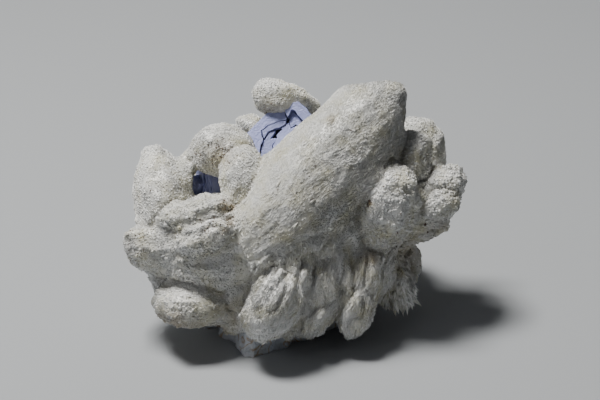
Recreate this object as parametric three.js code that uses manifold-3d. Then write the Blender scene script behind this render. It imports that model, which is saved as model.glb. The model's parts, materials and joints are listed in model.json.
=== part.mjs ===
/*
A calcite specimen: a cluster of dog-tooth (scalenohedral) calcite crystals grown through each other and
frosted with sugary druse, two galena crystals showing in gaps between them, and the broken rind of massive
calcite that the cluster grew on, trimmed flat underneath so that the specimen stands.

Millimetres, +Z up. The origin is the middle of the flat underside. The specimen is looked at from the front
(-Y) and a little above, so places are given on the display plane: right and up as the viewer sees them, and
deep as distance away from the viewer.
*/
import * as THREE from 'three';
import { ConvexGeometry } from 'three/addons/geometries/ConvexGeometry.js';
import { ImprovedNoise } from 'three/addons/math/ImprovedNoise.js';
import { mergeVertices } from 'three/addons/utils/BufferGeometryUtils.js';
import Module from 'manifold-3d';

const wasm = await Module();
wasm.setup();

// Driving dimensions
const DISPLAY_TILT = THREE.MathUtils.degToRad(25);
const DISPLAY_HEIGHT = 38.4;
const CONTACT_GAP = 0.35;
const FLOOR_CLEARANCE = 0.5;
const LUMP_SPACING = 9;
const LUMP_HEIGHT = 1.5;
const BUMP_SPACING = 4.6;
const BUMP_HEIGHT = 0.9;
const RIDGE_SHARE = 0.04;
const FACET_LENGTH = 4.4;
const TOOTH_LENGTH = 3.4;
const TOOTH_RADIUS = 1.25;
const TOOTH_SINK = 0.28;
const TOOTH_BAND = [0.62, 0.95];
const TOOTH_SIZES = [0.8, 1.25];
const GOLDEN_RATIO = 0.618;
const GOLDEN_ANGLE = Math.PI * (3 - Math.sqrt(5));

const display = new THREE.Matrix4()
	.makeTranslation(0, 0, DISPLAY_HEIGHT)
	.multiply(new THREE.Matrix4().makeRotationX(-DISPLAY_TILT));

// A point given as the viewer sees it, in the part's own frame.
function shown([right, up, deep]) {
	return new THREE.Vector3(right, deep, up).applyMatrix4(display);
}

// Crystals. root and tip are [right, up, deep], wide is the half width across the view and thick the half
// width along it. belly is where along its length a crystal is widest, halfway where it isn't given. full is
// how blunt it is, from 1 for a sharp spindle to 0.3 for nearly a rod, and teeth the number of small side
// crystals on it.
const crystals = [
	// The great crystal across the front, and the shoulder it shares with the ridges
	{ name: 'main', root: [-17, -19.5, -12], tip: [28, 32.2, -6],
		wide: 15, thick: 13, belly: 0.42, full: 0.37 },
	{ name: 'main shoulder', root: [-8.5, 0, -6], tip: [18.6, 32.6, -5],
		wide: 6.2, thick: 9, belly: 0.6, full: 0.3 },
	{ name: 'main corner', root: [12, 15, -6], tip: [30, 33.6, -7], wide: 4, thick: 7, belly: 0.6, full: 0.26 },
	{ name: 'main flank', root: [-11.5, -24.5, -6], tip: [22, 1.5, -1.5], wide: 10, thick: 12, full: 0.34 },
	// Upper left, round the galena
	{ name: 'top', root: [10, 24.5, 15], tip: [-13.5, 32.5, 6],
		wide: 6, thick: 6.5, belly: 0.7, full: 0.48 },
	{ name: 'top foot', root: [5, 8, 20], tip: [5, 26.5, 15], wide: 6, thick: 9, full: 0.36 },
	{ name: 'top small', root: [-4, 17, 20], tip: [-19, 23.5, 13],
		wide: 4, thick: 6, belly: 0.6, full: 0.5 },
	{ name: 'knob', root: [-12.5, 13.5, 5], tip: [-31.4, 14.8, -3],
		wide: 7.6, thick: 8, belly: 0.6, full: 0.36 },
	{ name: 'leaf', root: [-18.5, -4.5, -11], tip: [-15.5, 16, -8],
		wide: 6, thick: 6, full: 0.48 },
	// Left side
	{ name: 'left', root: [-37.5, -14, -6], tip: [-42.5, 15.5, -1],
		wide: 8, thick: 10, belly: 0.46, full: 0.5, teeth: 1 },
	{ name: 'left shoulder', root: [-39.5, -16, -3], tip: [-44, 11, 1],
		wide: 6, thick: 9, full: 0.36 },
	{ name: 'left inner', root: [-33.5, -4, 0], tip: [-33.5, 15, 3], wide: 3, thick: 6, full: 0.48 },
	{ name: 'ledge', root: [-40.5, -6, -12], tip: [-20, -1.5, -16.5],
		wide: 4, thick: 6, belly: 0.55, full: 0.36 },
	{ name: 'lower ledge', root: [-37, -14.5, -12], tip: [-19, -7.5, -18.5],
		wide: 5.5, thick: 6, belly: 0.55, full: 0.38 },
	{ name: 'west', root: [-22.5, -15.5, -8], tip: [-50, -12, -3],
		wide: 8, thick: 11, belly: 0.66, full: 0.3, teeth: 1 },
	{ name: 'west low', root: [-22, -25, -6], tip: [-43.5, -24, -3],
		wide: 5, thick: 7, full: 0.42, teeth: 1 },
	{ name: 'southwest', root: [-19.5, -33, -9], tip: [-42, -29, -8],
		wide: 5.4, thick: 9, belly: 0.58, full: 0.36, teeth: 1 },
	// Lower front
	{ name: 'heart', root: [3.5, -11.5, -5], tip: [-38.5, -17, -9],
		wide: 11, thick: 11, full: 0.36 },
	{ name: 'heart low', root: [-7, -10, 0], tip: [-20.5, -38.5, -5],
		wide: 10, thick: 10, full: 0.4 },
	{ name: 'south', root: [0.5, -16, -10], tip: [-13, -39, -19], wide: 8, thick: 10, full: 0.42 },
	{ name: 'south fork', root: [2.5, -18, -4], tip: [-4, -40, -9],
		wide: 4.5, thick: 8, full: 0.45, teeth: 1 },
	{ name: 'ridge', root: [14.5, -6.5, -2.5], tip: [1, -39.5, -10], wide: 7, thick: 9, full: 0.38, teeth: 1 },
	{ name: 'ridge middle', root: [20.5, -6, 0.5], tip: [14.5, -40, -8],
		wide: 6, thick: 9, belly: 0.55, full: 0.36, teeth: 2 },
	{ name: 'ridge right', root: [25, -7.5, 3], tip: [21, -30, -1],
		wide: 4.5, thick: 8, full: 0.42, teeth: 1 },
	// Right side
	{ name: 'fan', root: [25.5, -14.5, 7], tip: [30, -31.5, 6],
		wide: 5, thick: 6, belly: 0.66, full: 0.4, teeth: 4 },
	{ name: 'recess', root: [27.5, -7, 14], tip: [34, -22, 16], wide: 4, thick: 7, full: 0.45 },
	{ name: 'sugar', root: [21, -15, 0], tip: [28, 9.5, -12],
		wide: 8.5, thick: 10, belly: 0.58, full: 0.4, teeth: 3 },
	{ name: 'sugar side', root: [25.5, -13.5, 4], tip: [35.5, 3.5, -4],
		wide: 4.5, thick: 8, full: 0.42, teeth: 1 },
	{ name: 'northeast', root: [28, -1, 2], tip: [35, 20.5, 1],
		wide: 6, thick: 8, belly: 0.55, full: 0.38, teeth: 2 },
	{ name: 'blade', root: [30, 1, 14], tip: [36, 25, 12], wide: 10.5, thick: 4, full: 0.5 },
	{ name: 'east', root: [26.5, -1, 6], tip: [48.5, 6.5, 2],
		wide: 5.5, thick: 9, belly: 0.64, full: 0.38, teeth: 2 },
	{ name: 'east middle', root: [26, -6.5, 4], tip: [46, 0.5, -3],
		wide: 4.5, thick: 8, belly: 0.58, full: 0.4, teeth: 1 },
	{ name: 'east low', root: [24, -11, 6], tip: [43, -4, 3],
		wide: 5, thick: 9, belly: 0.55, full: 0.4, teeth: 1 },
	// Broad masses that the crystals stand on
	{ name: 'west mass', root: [-11, -11, -2], tip: [-45, -11, -1], wide: 13, thick: 12, full: 0.34 },
	{ name: 'south mass', root: [0, -1.5, -2], tip: [-0.5, -35.5, -8], wide: 22, thick: 9, full: 0.36 },
	{ name: 'east mass', root: [7, -3, 2], tip: [42.5, -1.5, 5], wide: 10.5, thick: 12, full: 0.38 },
	{ name: 'north mass', root: [-22, -3.5, 15], tip: [26.5, 19, 15], wide: 10, thick: 10, full: 0.4 },
	{ name: 'trunk', root: [-24.5, -9.5, 14], tip: [33.5, -7.5, 16], wide: 18.5, thick: 20, full: 0.36 },
	// The back
	{ name: 'back top', root: [0, 6, 18], tip: [13.5, 22.5, 26],
		wide: 9.5, thick: 11, belly: 0.55, full: 0.42 },
	{ name: 'back crown', root: [-6, 3, 18], tip: [-8, 22, 25],
		wide: 10, thick: 12, belly: 0.55, full: 0.4 },
	{ name: 'back left high', root: [-17.5, -7, 16], tip: [-34, 5, 26],
		wide: 8, thick: 11, belly: 0.55, full: 0.42, teeth: 1 },
	{ name: 'back left', root: [-14.5, -14.5, 16], tip: [-41, -7.5, 24],
		wide: 10, thick: 12, belly: 0.55, full: 0.42, teeth: 1 },
	{ name: 'back right', root: [8.5, -6, 18], tip: [29.5, 5, 32],
		wide: 10, thick: 13, belly: 0.55, full: 0.42, teeth: 1 },
	{ name: 'back middle', root: [0, -4.5, 20], tip: [0.5, 6, 41],
		wide: 11, thick: 15, belly: 0.55, full: 0.42, teeth: 1 },
	{ name: 'back low left', root: [-11.5, -9.5, 20], tip: [-22, -7.5, 38],
		wide: 10, thick: 13, belly: 0.55, full: 0.42, teeth: 1 },
	{ name: 'back low right', root: [14.5, -9.5, 18], tip: [31.5, -6.5, 32],
		wide: 9.5, thick: 12, belly: 0.55, full: 0.42, teeth: 1 },
	{ name: 'back foot', root: [0, -7, 18], tip: [2.5, -22, 36],
		wide: 10.5, thick: 13, belly: 0.55, full: 0.42 },
	{ name: 'back foot left', root: [-8.5, -11.5, 14], tip: [-30, -22, 28],
		wide: 10, thick: 13, belly: 0.55, full: 0.42, teeth: 1 },
	{ name: 'back foot right', root: [10.5, -11.5, 12], tip: [24, -23, 24],
		wide: 9.5, thick: 13, belly: 0.55, full: 0.42, teeth: 1 },
];

const noise = new ImprovedNoise();

// How far the surface is raised at a point: broad lumps with smaller bumps on them.
function relief(p) {
	const lump = noise.noise(p.x / LUMP_SPACING + 7.3, p.y / LUMP_SPACING + 1.9, p.z / LUMP_SPACING + 4.1);
	const bump = noise.noise(p.x / BUMP_SPACING + 2.7, p.y / BUMP_SPACING + 8.5, p.z / BUMP_SPACING + 0.4);
	return LUMP_HEIGHT * lump + BUMP_HEIGHT * bump;
}

// The frame of a crystal: Y from its root to its tip, X across the view and Z along it.
function crystalFrame({ root, tip }) {
	const from = shown(root);
	const along = shown(tip).sub(from);
	const length = along.length();
	along.normalize();
	const view = shown([0, 0, 1]).sub(shown([0, 0, 0]));
	const across = new THREE.Vector3().crossVectors(along, view).normalize();
	const depth = new THREE.Vector3().crossVectors(across, along);
	return { from, along, across, depth, length };
}

// The point of a crystal's surface at share t of its length and angle a round it.
function surfacePoint(frame, { wide, thick, belly = 0.5, full }, t, a) {
	const bent = t ** (Math.log(0.5) / Math.log(belly));
	const radius = Math.sin(Math.PI * bent) ** full * (1 + RIDGE_SHARE * Math.cos(6 * a));
	return frame.from.clone()
		.addScaledVector(frame.along, t * frame.length)
		.addScaledVector(frame.across, radius * wide * Math.cos(a))
		.addScaledVector(frame.depth, radius * thick * Math.sin(a));
}

// A shape with one vertex at each corner, so that its faces join up. It is done before the shape is moved.
function joined(geometry) {
	geometry.deleteAttribute('normal');
	geometry.deleteAttribute('uv');
	return mergeVertices(geometry, 1e-4);
}

function solidFrom(geometry) {
	return new wasm.Manifold(new wasm.Mesh({
		numProp: 3,
		vertProperties: geometry.attributes.position.array,
		triVerts: new Uint32Array(geometry.index.array),
	}));
}

// A crystal's body: a sphere whose rings are moved onto the crystal's surface, then raised and sunk by lumps.
function crystalBody(crystal) {
	const frame = crystalFrame(crystal);
	const size = Math.max(crystal.wide, crystal.thick);
	const sides = size > 11 ? 16 : size > 6 ? 12 : 10;
	const rings = Math.round(THREE.MathUtils.clamp(frame.length / FACET_LENGTH, 6, 13));
	const geometry = joined(new THREE.SphereGeometry(1, sides, rings));
	const position = geometry.attributes.position;
	const axisPoint = new THREE.Vector3();
	for (let i = 0; i < position.count; i++) {
		const x = position.getX(i);
		const y = position.getY(i);
		const z = position.getZ(i);
		const t = (y + 1) / 2;
		const p = surfacePoint(frame, crystal, t, Math.atan2(z, x));
		const axisShare = THREE.MathUtils.clamp(t, 0.15, 0.85);
		axisPoint.copy(frame.from).addScaledVector(frame.along, axisShare * frame.length);
		const outwards = p.clone().sub(axisPoint).normalize();
		p.addScaledVector(outwards, relief(p));
		position.setXYZ(i, p.x, p.y, p.z);
	}
	return solidFrom(geometry);
}

// One small side crystal, standing on a surface point and leaning from the growth direction to the normal.
function toothOn(crystal, frame, t, a, size) {
	const foot = surfacePoint(frame, crystal, t, a);
	const ahead = surfacePoint(frame, crystal, Math.min(t + 0.04, 1), a).sub(foot).normalize();
	const outwards = foot.clone().sub(frame.from).projectOnPlane(frame.along).normalize();
	const lean = ahead.multiplyScalar(0.8).addScaledVector(outwards, 0.45).normalize();
	const geometry = joined(new THREE.ConeGeometry(TOOTH_RADIUS * size, TOOTH_LENGTH * size, 5));
	geometry.translate(0, TOOTH_LENGTH * size * (0.5 - TOOTH_SINK), 0);
	geometry.applyQuaternion(new THREE.Quaternion().setFromUnitVectors(new THREE.Vector3(0, 1, 0), lean));
	geometry.translate(foot.x, foot.y, foot.z);
	return solidFrom(geometry);
}

// A value between low and high, a different one for each n, evenly spread over many.
function spread([low, high], n) {
	return low + (high - low) * ((n * GOLDEN_RATIO) % 1);
}

function teethOf(crystal, seed) {
	const frame = crystalFrame(crystal);
	return Array.from({ length: crystal.teeth ?? 0 }, (_, i) => {
		const t = spread(TOOTH_BAND, i + 0.6 * seed);
		const size = spread(TOOTH_SIZES, 2 * i + seed);
		return toothOn(crystal, frame, t, i * GOLDEN_ANGLE + seed, size);
	});
}

// Galena is built with +Z towards the viewer, then turned and set in its place on the display plane.
function placed(geometry, [right, up, deep], [pitch, yaw, roll]) {
	const place = new THREE.Matrix4().makeTranslation(right, deep, up);
	place.multiply(new THREE.Matrix4().makeRotationX(Math.PI / 2 + pitch));
	place.multiply(new THREE.Matrix4().makeRotationY(yaw));
	place.multiply(new THREE.Matrix4().makeRotationZ(roll));
	geometry.applyMatrix4(place).applyMatrix4(display);
	return solidFrom(geometry);
}

// A box of galena, margin larger on each side.
function block({ size, at }, margin) {
	const [x, y, z] = size.map((side) => side + 2 * margin);
	return joined(new THREE.BoxGeometry(x, y, z)).translate(...at);
}

// A cleavage terrace standing proud of the cube face, its corners given on that face.
function terrace({ outline, proud }, margin) {
	const middle = outline.reduce((sum, [x, y]) => sum.add(new THREE.Vector2(x, y)), new THREE.Vector2());
	middle.divideScalar(outline.length);
	const shape = new THREE.Shape(outline.map(([x, y]) => {
		const corner = new THREE.Vector2(x, y);
		return corner.clone().addScaledVector(corner.sub(middle).normalize(), 1.6 * margin);
	}));
	return joined(new THREE.ExtrudeGeometry(shape, { depth: proud + margin, bevelEnabled: false }));
}

// The upper galena is a cube face turned to the viewer with its left corner out, a second block grown on at
// its top right edge, and cleavage terraces on the right half of the face.
const upperGalena = {
	place: [-4.9, 17.7, 5],
	turn: [-0.26, -0.1, 0.75],
	blocks: [
		{ size: [11.6, 21, 7], at: [0, -2.5, -3.5] },
		{ size: [5.4, 15, 6], at: [7.8, -2.6, -2.8] },
	],
	terraces: [
		{ outline: [[-3.4, -11], [-2.8, -4.2], [-0.6, -0.2], [1.8, 1.6], [5.6, 2.6], [5.6, -11]], proud: 0.7 },
		{ outline: [[-1.4, -11], [-0.8, -4.6], [1.2, -1.8], [3.4, -0.6], [5.6, -0.2], [5.6, -11]], proud: 1.4 },
		{ outline: [[5, -6.5], [4.8, 0.4], [6.4, 3.2], [8.6, 2.2], [9, -6.5]], proud: 1.2 },
	],
};

// The lower galena is a column standing in its gap, beside a small stepped crystal grown with it.
const lowerGalena = [
	{ place: [-25.6, 5.8, 6.2], turn: [0, 0.35, 0.05], blocks: [{ size: [7.4, 13, 9], at: [0, 0, 0] }] },
	{
		place: [-30.6, 3.6, 5.2],
		turn: [0.1, -0.5, -0.55],
		blocks: [{ size: [4.2, 6, 6], at: [0, 0, 0] }, { size: [2.4, 4, 5], at: [-0.4, 1, 1.6] }],
	},
];

function galena({ place, turn, blocks, terraces = [] }, margin) {
	const pieces = [
		...blocks.map((one) => block(one, margin)),
		...terraces.map((one) => terrace(one, margin)),
	];
	return union(pieces.map((geometry) => placed(geometry, place, turn)));
}

// The rind: shards of massive calcite, each the hull of the corners it broke to. foot is the shard's outline
// on the floor, rise its height and draw how far its top is drawn in.
const shards = [
	{
		foot: [[-22, -11], [-14, -15], [-4, -14], [5, -11], [17, -2], [21, 10], [15, 24], [-4, 29], [-22, 24],
			[-28, 11], [-28, -1]],
		rise: 7,
		draw: 0.85,
	},
	{ foot: [[-19, -18.5], [-16, -24.8], [-13, -25.3], [-11.5, -18], [-14, -12], [-18, -12]],
		rise: 10, draw: 0.7 },
	{ foot: [[-12.8, -24.4], [-11, -23.1], [-8, -20.6], [-2.9, -19.1], [-2.6, -13.7], [-12, -12]],
		rise: 8, draw: 0.8 },
	{ foot: [[-3.5, -15.5], [0, -15.8], [3.5, -13.7], [8, -7], [-2, -6]], rise: 5.5, draw: 0.85 },
	{ foot: [[-24, -12.3], [-20.3, -14.6], [-16.5, -18], [-15, -10], [-22, -5]], rise: 6, draw: 0.8 },
	{ foot: [[14, -6], [21, 1], [24.5, 9], [16, 12], [8, 2]], rise: 6.5, draw: 0.75 },
	{ foot: [[22, 12], [19, 25], [9, 29.5], [8, 16]], rise: 5, draw: 0.8 },
	{ foot: [[-8, 22], [6, 27], [-3, 33.5], [-14, 31]], rise: 6, draw: 0.8 },
	{ foot: [[-16, 20], [-27, 25.5], [-31.5, 14], [-25, 6]], rise: 7.5, draw: 0.75 },
	{ foot: [[-26, 8], [-32, 1], [-27.5, -8.5], [-20, -4]], rise: 6, draw: 0.8 },
];

// A shard, margin larger on each side.
function shard({ foot, rise, draw }, margin) {
	const middle = foot.reduce((sum, [x, y]) => sum.add(new THREE.Vector2(x, y)), new THREE.Vector2());
	middle.divideScalar(foot.length);
	const corners = foot.flatMap(([x, y], i) => {
		const out = new THREE.Vector2(x, y).sub(middle);
		out.setLength(out.length() + 1.6 * margin);
		const height = rise * (0.85 + 0.15 * Math.cos(2.4 * i)) + margin;
		return [
			new THREE.Vector3(middle.x + out.x, middle.y + out.y, 0),
			new THREE.Vector3(middle.x + draw * out.x, middle.y + draw * out.y, height),
		];
	});
	return solidFrom(joined(new ConvexGeometry(corners)));
}

function union(solids) {
	return solids.reduce((all, solid) => all.add(solid));
}

function geometryOf(solid) {
	const { numProp, numVert, vertProperties, triVerts } = solid.getMesh();
	const points = new Float32Array(numVert * 3);
	for (let i = 0; i < numVert; i++) {
		points.set(vertProperties.subarray(i * numProp, i * numProp + 3), i * 3);
	}
	const geometry = new THREE.BufferGeometry();
	geometry.setAttribute('position', new THREE.BufferAttribute(points, 3));
	geometry.setIndex(new THREE.BufferAttribute(triVerts, 1));
	return geometry;
}

// The largest connected piece: cuts leave a few crumbs, some held on by a thread that merging parts.
function onePiece(solid) {
	const whole = solidFrom(mergeVertices(geometryOf(solid), 2e-3));
	return whole.decompose().sort((a, b) => b.volume() - a.volume())[0];
}

function meshOf(name, solid, material) {
	const geometry = geometryOf(solid);
	geometry.computeVertexNormals();
	const mesh = new THREE.Mesh(geometry, material);
	mesh.name = name;
	return mesh;
}

const calcite = new THREE.MeshStandardMaterial({ color: 0xd8d2c4, roughness: 0.55, metalness: 0 });
const galenaMetal = new THREE.MeshStandardMaterial({ color: 0x9a9cb8, roughness: 0.35, metalness: 0.8 });
const rindStone = new THREE.MeshStandardMaterial({ color: 0xa9a8a6, roughness: 0.4, metalness: 0 });

const rindOf = (margin) => union(shards.map((one) => shard(one, margin)));
const upperOf = (margin) => galena(upperGalena, margin);
const lowerOf = (margin) => union(lowerGalena.map((one) => galena(one, margin)));

const grownTogether = union(crystals.flatMap((crystal, i) => [crystalBody(crystal), ...teethOf(crystal, i)]));
const floorBox = joined(new THREE.BoxGeometry(200, 200, 100)).translate(0, 0, FLOOR_CLEARANCE - 50);
const cluster = grownTogether
	.subtract(solidFrom(floorBox))
	.subtract(rindOf(CONTACT_GAP))
	.subtract(upperOf(CONTACT_GAP))
	.subtract(lowerOf(CONTACT_GAP));

const specimen = new THREE.Group();
specimen.add(
	meshOf('calcite_crystals', onePiece(cluster), calcite),
	meshOf('galena_upper', upperOf(0), galenaMetal),
	meshOf('galena_lower', lowerOf(0), galenaMetal),
	meshOf('broken_rind', rindOf(0), rindStone),
);

export default specimen;
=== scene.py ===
# %% [markdown]
# A frosted calcite specimen on a pale table.
#
# The real thing is a cluster of dog-tooth calcite crystals, each one covered with a crust of tiny calcite
# crystals that mineral people call druse. Crystals of galena, the grey metallic ore of lead, show in two
# gaps between them, and the whole cluster stands on a broken rind of massive calcite. The CAD model gives the
# big forms and their places. This lesson lays the detail over them, one kind of growth after the other.

# %% Load the frame
import json
from math import cos, pi, radians, sin

import bpy
import numpy as np
from mathutils import Matrix, Vector, noise
from mathutils.bvhtree import BVHTree

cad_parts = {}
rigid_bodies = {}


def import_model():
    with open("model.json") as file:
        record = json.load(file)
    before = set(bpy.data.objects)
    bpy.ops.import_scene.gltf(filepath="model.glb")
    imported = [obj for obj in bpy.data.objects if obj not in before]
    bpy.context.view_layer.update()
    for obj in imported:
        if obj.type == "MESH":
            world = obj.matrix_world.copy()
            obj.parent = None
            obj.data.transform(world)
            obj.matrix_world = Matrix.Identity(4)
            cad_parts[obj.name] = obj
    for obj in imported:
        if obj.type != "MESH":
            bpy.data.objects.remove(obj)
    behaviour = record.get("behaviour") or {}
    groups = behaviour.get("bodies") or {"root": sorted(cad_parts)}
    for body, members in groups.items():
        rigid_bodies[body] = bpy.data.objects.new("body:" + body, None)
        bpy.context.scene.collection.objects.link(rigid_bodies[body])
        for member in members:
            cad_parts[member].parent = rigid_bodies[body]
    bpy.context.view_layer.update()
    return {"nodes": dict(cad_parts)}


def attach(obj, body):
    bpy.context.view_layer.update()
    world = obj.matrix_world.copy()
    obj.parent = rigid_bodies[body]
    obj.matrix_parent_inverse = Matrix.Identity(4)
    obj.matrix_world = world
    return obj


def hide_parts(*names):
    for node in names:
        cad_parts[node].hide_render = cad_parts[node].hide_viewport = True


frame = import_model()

# %% [markdown]
# Places on this specimen are easiest to read as the viewer sees them, so they are given as millimetres to
# the right, up and away from the viewer, on a plane that leans back as the camera looks down. One function
# turns such a place into Blender's metres.

# %% Units and places
MM = 0.001
VIEW_TILT = radians(25)
DISPLAY_HEIGHT = 38.4

def shown(right, up, deep):
    """A place on the display plane, in metres in the frame."""
    y = up * sin(VIEW_TILT) + deep * cos(VIEW_TILT)
    z = DISPLAY_HEIGHT + up * cos(VIEW_TILT) - deep * sin(VIEW_TILT)
    return Vector((right, y, z)) * MM

print("the middle of the view is", shown(0, 0, 0))

# %% [markdown]
# The photograph gives no camera height, so 25 degrees above the table is an estimate. The camera
# stands square in front, with a long lens, so that near and far crystals keep nearly the same size.

# %% Camera
LENS = 135
SENSOR_WIDTH = 36
NEAREST_SEEN = 0.01
CAMERA_DISTANCE = 0.6525
CAMERA_PLACE = shown(0, 0, -CAMERA_DISTANCE / MM)

bpy.ops.object.camera_add(location=CAMERA_PLACE, rotation=(pi / 2 - VIEW_TILT, 0, 0))
camera = bpy.context.object
camera.name = "camera"
camera.data.lens = LENS
camera.data.sensor_width = SENSOR_WIDTH
camera.data.clip_start = NEAREST_SEEN
bpy.context.scene.camera = camera
print("camera at", camera.location)

# %% [markdown]
# A soft key lamp, high above and a little to the left, rakes across the druse, so that each tiny face
# shows. A weak, wide fill from the left front keeps the shadows open, and a weak lamp behind on the right
# lights the rim. The table is a plain plane.

# %% Table and lamps
def srgb(code, alpha=1.0):
    """An sRGB hex colour as the linear values that a shader needs."""
    shares = [int(code[i:i + 2], 16) / 255 for i in (1, 3, 5)]
    return [s / 12.92 if s <= 0.04045 else ((s + 0.055) / 1.055) ** 2.4 for s in shares] + [alpha]

def lamp(name, right, up, toward, size, watts, colour):
    """A soft square lamp, in centimetres on the display plane from the specimen, aimed at it."""
    place = shown(10 * right, 10 * up, -10 * toward)
    bpy.ops.object.light_add(type="AREA", location=place)
    made = bpy.context.object
    made.name = name
    made.data.size = size
    made.data.energy = watts
    made.data.color = srgb(colour)[:3]
    made.rotation_euler = (shown(0, 0, 0) - place).to_track_quat("-Z", "Y").to_euler()
    return made

lamp("key lamp", -26, 70, 28, 0.22, 11, "#fffdf8")
lamp("fill lamp", -48, 14, 58, 0.5, 0.55, "#f6f7ff")
lamp("rim lamp", 30, 60, -60, 0.4, 0.5, "#f8faff")

SKY_COLOUR = "#e2e5ea"
SKY_STRENGTH = 0.035
TABLE_SIZE = 4
TABLE_PLACE = (0, 0.6, 0)

world = bpy.data.worlds.new("studio")
world.use_nodes = True
world.node_tree.nodes["Background"].inputs["Color"].default_value = srgb(SKY_COLOUR)
world.node_tree.nodes["Background"].inputs["Strength"].default_value = SKY_STRENGTH
bpy.context.scene.world = world

bpy.ops.mesh.primitive_plane_add(size=TABLE_SIZE, location=TABLE_PLACE)
table = bpy.context.object
table.name = "table"
print("3 lamps and a table")

# %% [markdown]
# Every material below is built from a few nodes. One small function adds a node, sets it and links it, so
# that a material reads as a short list.

# %% Helpers for materials
def new_material(name):
    """A material with an empty node tree."""
    made = bpy.data.materials.new(name)
    made.use_nodes = True
    made.node_tree.nodes.clear()
    return made

def add(material, kind, inputs=None, **settings):
    """Adds a node: its settings by name, its inputs as plain values or as the sockets that feed them."""
    made = material.node_tree.nodes.new(kind)
    for name, value in settings.items():
        setattr(made, name, value)
    for socket, value in (inputs or {}).items():
        if isinstance(value, bpy.types.NodeSocket):
            material.node_tree.links.new(value, made.inputs[socket])
        else:
            made.inputs[socket].default_value = value
    return made

# %% [markdown]
# The table stands for a board with matt grey paint. Paint on a board scatters light nearly evenly, so its
# roughness is high, and one flat colour is enough for a ground that should not draw the eye.

# %% Material: painted board
board = new_material("painted board")
board_shader = add(board, "ShaderNodeBsdfPrincipled", {"Base Color": srgb("#a4a7ab"), "Roughness": 0.85})
add(board, "ShaderNodeOutputMaterial", {"Surface": board_shader.outputs["BSDF"]})
table.data.materials.append(board)
print("table finish:", board.name)

# %% [markdown]
# Druse is colourless calcite in very small crystals. Light scatters between them, so the crust looks like
# coarse sugar: nearly white, a little cream where iron has tinted it, with a soft glow from inside and small
# glints. A few grains are brown or nearly black from other minerals caught among them. The colour is mixed
# here from three values stored on the mesh: a tone, a stain and a speck. The tone is partly random and partly
# painted light: painted highlights on the glints and on a few places where the lamps fall. The grains with
# the whitest painted tone are also the glossiest, and those are the glints. Calcite splits light in two, with
# indices of 1.49 and 1.66, so its IOR here is one between them. The cream clouds are 6 mm wide.

# %% Material: druse of calcite
def per_mm(size):
    """The scale of a pattern on Object coordinates, for a feature of this many millimetres."""
    return 1 / (size * MM)

CALCITE_IOR = 1.6
CREAM_CLOUD = 6

def druse_material():
    """Tiny calcite crystals: sugary white and cream, glowing a little from inside."""
    made = new_material("calcite druse")
    place = add(made, "ShaderNodeTexCoord").outputs["Object"]
    clouds = add(made, "ShaderNodeTexNoise", {
        "Vector": place, "Scale": per_mm(CREAM_CLOUD), "Detail": 5.0})
    warmth = add(made, "ShaderNodeMapRange", {
        "Value": clouds.outputs["Fac"], "From Min": 0.42, "From Max": 0.7})
    cream = add(made, "ShaderNodeMix", {
        "Factor": warmth.outputs["Result"], "A": srgb("#d2d2ce"), "B": srgb("#c1bc9f")}, data_type="RGBA")
    # The tone value whitens the colour: partly a tone that differs at random, partly painted highlight on
    # glints and painted light in the patches
    tone_and_highlight = add(made, "ShaderNodeAttribute", attribute_name="tone_and_highlight").outputs["Fac"]
    lighter = add(made, "ShaderNodeMix", {
        "Factor": tone_and_highlight, "A": cream.outputs["Result"], "B": srgb("#f8f8f6")}, data_type="RGBA")
    stain = add(made, "ShaderNodeAttribute", attribute_name="stain").outputs["Fac"]
    stained = add(made, "ShaderNodeMix", {
        "Factor": stain, "A": lighter.outputs["Result"], "B": srgb("#7d6638")}, data_type="RGBA")
    speck = add(made, "ShaderNodeAttribute", attribute_name="speck").outputs["Fac"]
    specked = add(made, "ShaderNodeMix", {
        "Factor": speck, "A": stained.outputs["Result"], "B": srgb("#4b3524")}, data_type="RGBA")
    rough = add(made, "ShaderNodeMapRange", {
        "Value": tone_and_highlight, "From Min": 0.8, "From Max": 1.0, "To Min": 0.4, "To Max": 0.16})
    shader = add(made, "ShaderNodeBsdfPrincipled", {
        "Base Color": specked.outputs["Result"],
        "Roughness": rough.outputs["Result"],
        "IOR": CALCITE_IOR,
        "Subsurface Weight": 0.6,
        "Subsurface Radius": (1.0, 0.98, 0.94),
        "Subsurface Scale": 1.3 * MM,
    })
    add(made, "ShaderNodeOutputMaterial", {"Surface": shader.outputs["BSDF"]})
    return made

druse = druse_material()
print("material:", druse.name)

# %% [markdown]
# Every crystal in the cluster grew from its root to its tip, and the druse on it points the same way, like
# fur that is combed one way. So the big crystals are listed here with their growth lines, the half width
# they have across and along the view, and the habit that their druse has: silk for fine fibres, rib for
# fibres on sharp ridges, crust for short grains, sugar for coarse ones, feather for long teeth, and fine for
# short grains on a smooth crystal. The masses, the trunk and the back crystals, at the end of the list,
# are not seen in the photograph and are guessed.

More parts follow.
